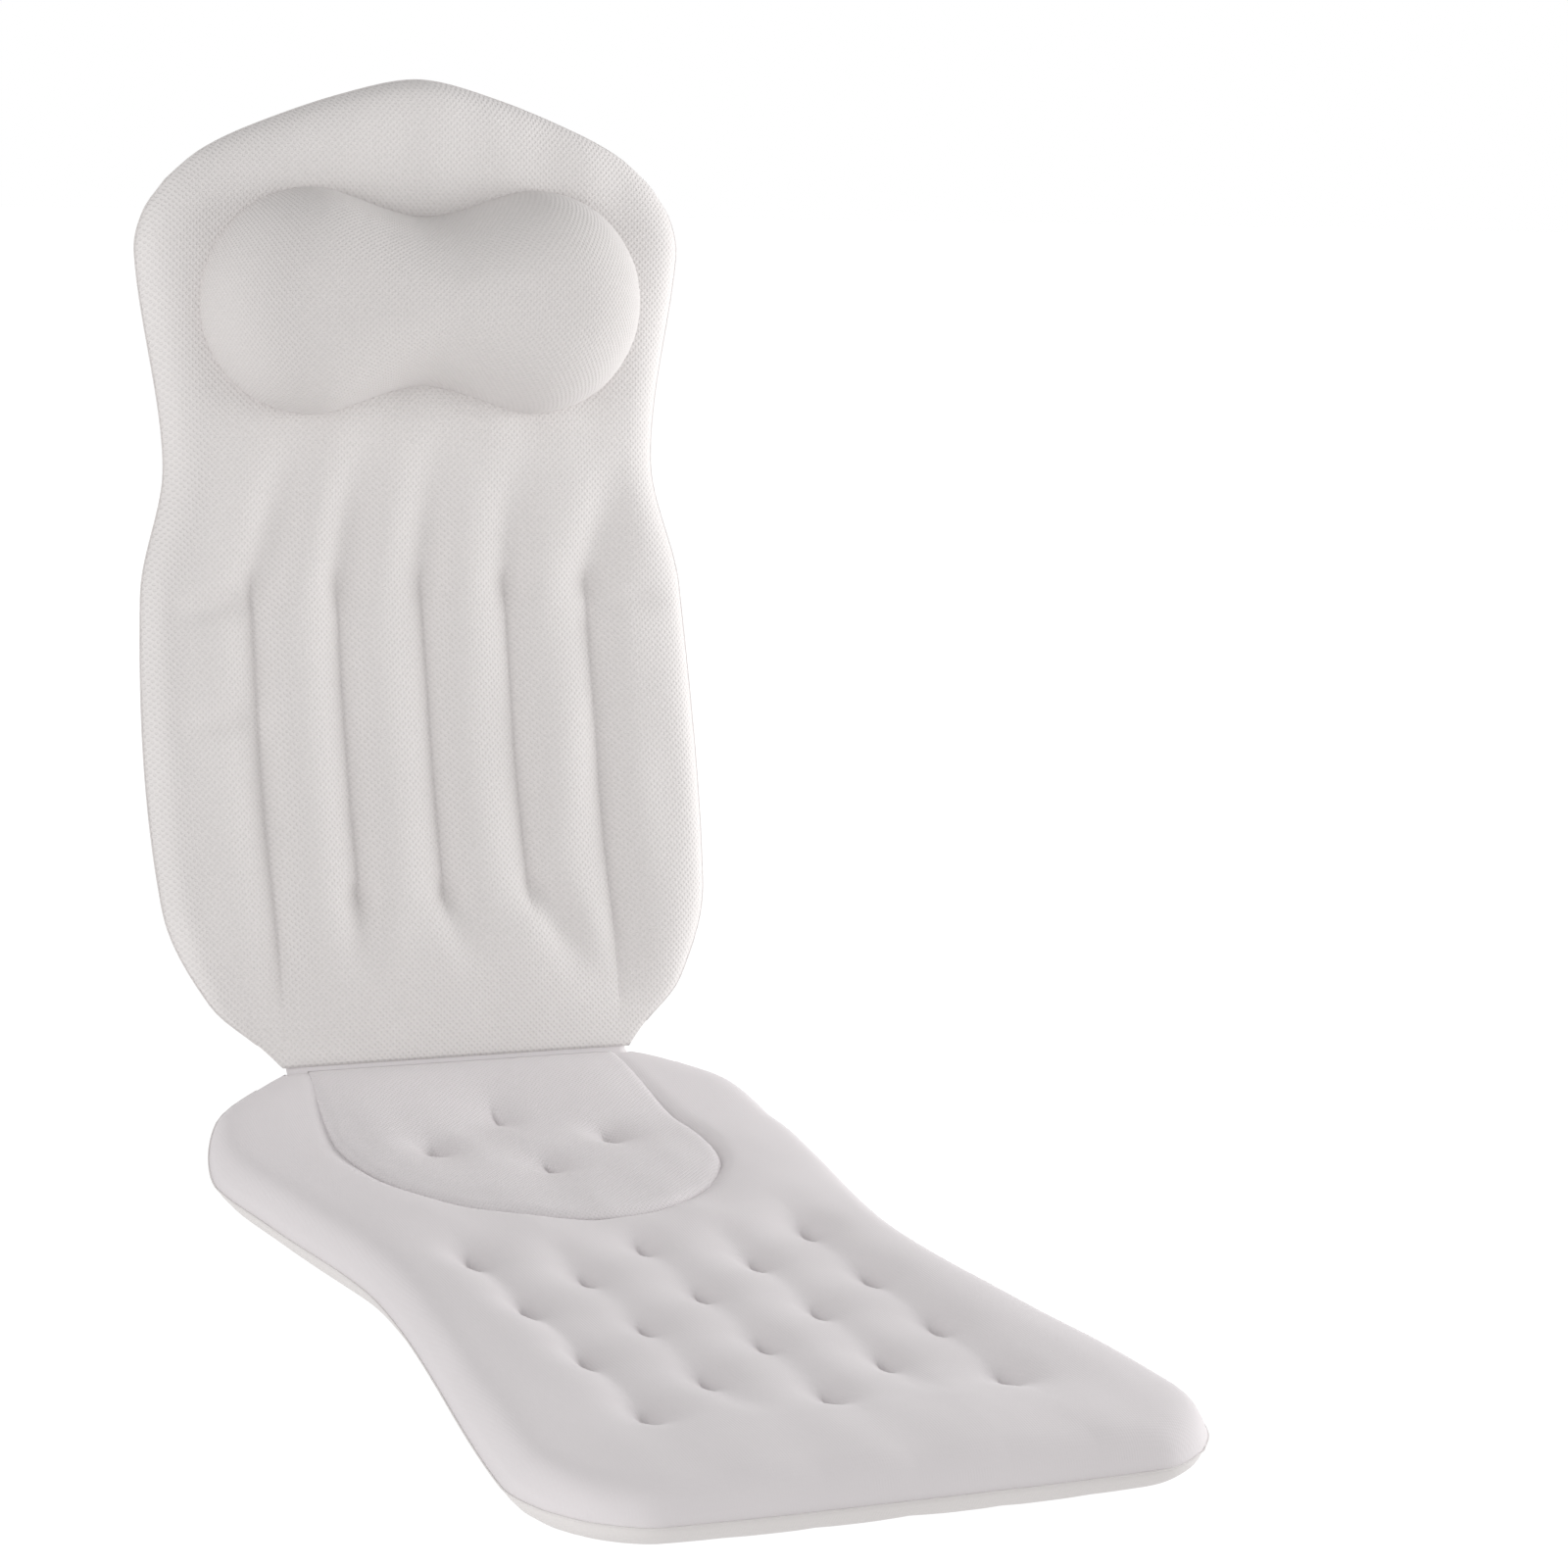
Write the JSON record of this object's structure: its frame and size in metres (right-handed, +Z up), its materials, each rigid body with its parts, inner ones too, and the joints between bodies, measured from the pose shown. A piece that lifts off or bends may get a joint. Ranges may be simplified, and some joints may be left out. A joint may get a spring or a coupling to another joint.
{
  "type": "bath pillow",
  "caption": "Full-body quilted bath pillow: padded back with a bone-shaped head pillow, folding at a sewn waist over a tufted seat and leg mat held by suction cups.",
  "frame": {"origin": "under the middle of the part's box, on the tub floor that the leg cups' rims stand on", "axes": "+X across the bath to the bather's left as they sit on it, +Y from the feet to the head end, +Z up"},
  "size_m": [0.4064, 0.853, 0.6788],
  "materials": {
    "air_mesh": "off-white spacer air mesh, matt",
    "knit_cloth": "off-white smooth knit, matt",
    "wadding": "white polyester wadding",
    "soft_vinyl": "clear soft vinyl, glossy"
  },
  "bodies": {
    "leg_panel": {"leg_top_cover": "knit_cloth", "seat_panel": "air_mesh", "leg_core": "wadding", "leg_bottom_cover": "knit_cloth", "fold_seam": "air_mesh", "leg_cup_left_1": "soft_vinyl", "leg_cup_right_1": "soft_vinyl", "leg_cup_left_2": "soft_vinyl", "leg_cup_right_2": "soft_vinyl", "leg_cup_left_3": "soft_vinyl", "leg_cup_right_3": "soft_vinyl", "leg_cup_left_4": "soft_vinyl", "leg_cup_right_4": "soft_vinyl"},
    "back_panel": {"back_front_cover": "air_mesh", "back_core": "wadding", "back_rear_cover": "air_mesh", "head_pillow_cover": "air_mesh", "head_pillow_fill": "wadding", "back_cup_left_1": "soft_vinyl", "back_cup_right_1": "soft_vinyl", "back_cup_left_2": "soft_vinyl", "back_cup_right_2": "soft_vinyl", "back_cup_left_3": "soft_vinyl", "back_cup_right_3": "soft_vinyl", "back_cup_left_4": "soft_vinyl", "back_cup_right_4": "soft_vinyl"}
  },
  "joints": [
    {"name": "waist_fold", "type": "hinge", "parent": "leg_panel", "child": "back_panel", "pos_m": [0, 0.24852, 0.066], "axis": [-1, 0, 0], "range_deg": [-98, 70]}
  ]
}
